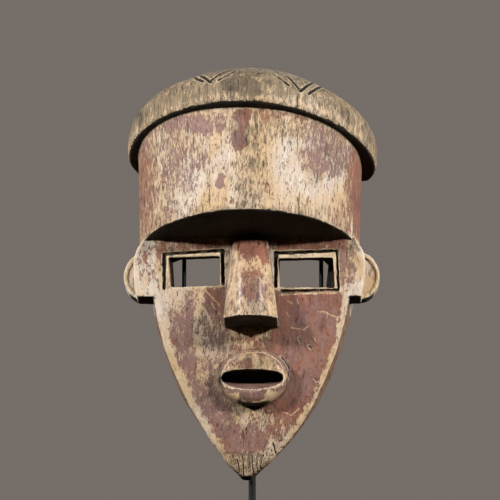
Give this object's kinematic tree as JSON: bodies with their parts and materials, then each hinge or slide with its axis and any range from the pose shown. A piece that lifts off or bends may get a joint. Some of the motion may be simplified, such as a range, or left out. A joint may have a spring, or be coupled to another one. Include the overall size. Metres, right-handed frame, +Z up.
{
  "type": "lwalwa mask",
  "caption": "Carved wooden face mask with a domed cap, jutting brow, wedge nose and square eyes, held upright on a small black steel stand.",
  "frame": {"origin": "middle of the foot plate's underside", "axes": "+Z up, the mask looks along -Y, +X to the right of someone who faces the mask"},
  "size_m": [0.194, 0.1584, 0.4044],
  "materials": {
    "carved_wood": "matt carved wood, worn pale coating over red-brown pigment",
    "black_steel": "satin black"
  },
  "bodies": {
    "root": {"mask": "carved_wood", "stand_foot": "black_steel", "stand_post": "black_steel", "stand_fork": "black_steel"}
  },
  "joints": []
}
